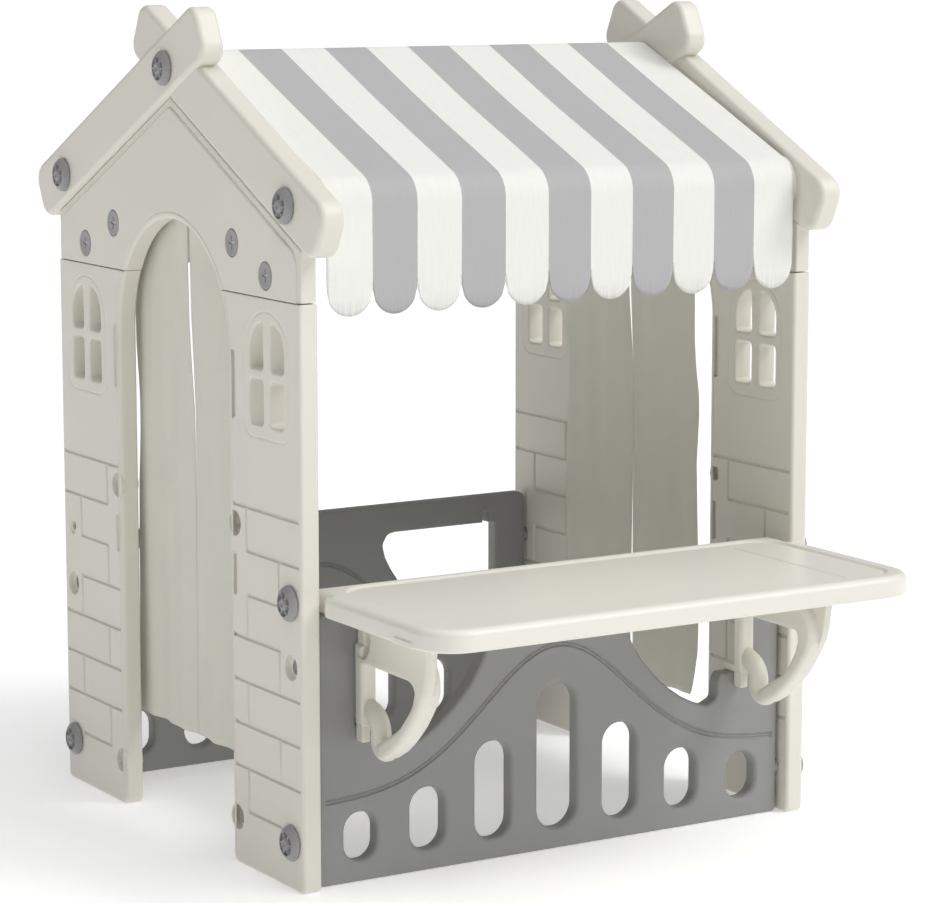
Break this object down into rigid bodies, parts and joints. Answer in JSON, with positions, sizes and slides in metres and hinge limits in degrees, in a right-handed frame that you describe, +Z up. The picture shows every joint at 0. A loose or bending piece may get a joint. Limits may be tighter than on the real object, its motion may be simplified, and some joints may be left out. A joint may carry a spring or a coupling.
{
  "type": "children's playhouse",
  "caption": "Free-standing plastic playhouse with arched curtained doorways at both ends, vented low panels, a striped scalloped awning and a bracketed serving counter.",
  "frame": {"origin": "on the floor, below the centre of the whole outline", "axes": "+X along the ridge towards the right end seen from the serving side, -Y towards the serving side, +Z up"},
  "size_m": [0.956, 1.2234, 1.2887],
  "materials": {
    "cream_plastic": "satin blow-moulded polyethylene",
    "counter_plastic": "semi-gloss moulded polyethylene",
    "grey_plastic": "satin blow-moulded polyethylene",
    "knob_plastic": "satin moulded plastic",
    "bolt_steel": "zinc plated",
    "pole_paint": "powder coated white tube",
    "awning_cloth": "printed woven polyester",
    "curtain_cloth": "plain woven polyester"
  },
  "bodies": {
    "house": {"column_left_front": "cream_plastic", "column_left_back": "cream_plastic", "column_right_front": "cream_plastic", "column_right_back": "cream_plastic", "gable_left": "cream_plastic", "gable_right": "cream_plastic", "roof_board_left_front": "cream_plastic", "roof_board_left_back": "cream_plastic", "roof_board_right_front": "cream_plastic", "roof_board_right_back": "cream_plastic", "bracket_left": "cream_plastic", "bracket_right": "cream_plastic", "rod_holders_left": "cream_plastic", "rod_holders_right": "cream_plastic", "pole_end_plugs": "cream_plastic", "ridge_pole": "pole_paint", "eave_rail_front": "pole_paint", "eave_rail_back": "pole_paint", "curtain_rod_left": "pole_paint", "curtain_rod_right": "pole_paint", "panel_front": "grey_plastic", "panel_back": "grey_plastic", "counter_top": "counter_plastic", "wall_knobs_left": "knob_plastic", "wall_knobs_right": "knob_plastic", "roof_knobs_left": "knob_plastic", "roof_knobs_right": "knob_plastic", "gable_screws_left": "knob_plastic", "gable_screws_right": "knob_plastic", "knob_bolts_left": "bolt_steel", "knob_bolts_right": "bolt_steel", "thread_inserts": "bolt_steel", "awning": "awning_cloth"},
    "curtain_left_front": {"curtain_left_front": "curtain_cloth"},
    "curtain_left_back": {"curtain_left_back": "curtain_cloth"},
    "curtain_right_front": {"curtain_right_front": "curtain_cloth"},
    "curtain_right_back": {"curtain_right_back": "curtain_cloth"}
  },
  "joints": [
    {"name": "curtain_swing_left_front", "type": "hinge", "parent": "house", "child": "curtain_left_front", "pos_m": [-0.412, 0.15826, 0.99], "axis": [0, -1, 0], "range_deg": [0, 25]},
    {"name": "curtain_swing_left_back", "type": "hinge", "parent": "house", "child": "curtain_left_back", "pos_m": [-0.412, 0.15826, 0.99], "axis": [0, -1, 0], "range_deg": [0, 25]},
    {"name": "curtain_swing_right_front", "type": "hinge", "parent": "house", "child": "curtain_right_front", "pos_m": [0.412, 0.15826, 0.99], "axis": [0, 1, 0], "range_deg": [0, 25]},
    {"name": "curtain_swing_right_back", "type": "hinge", "parent": "house", "child": "curtain_right_back", "pos_m": [0.412, 0.15826, 0.99], "axis": [0, 1, 0], "range_deg": [0, 25]}
  ]
}
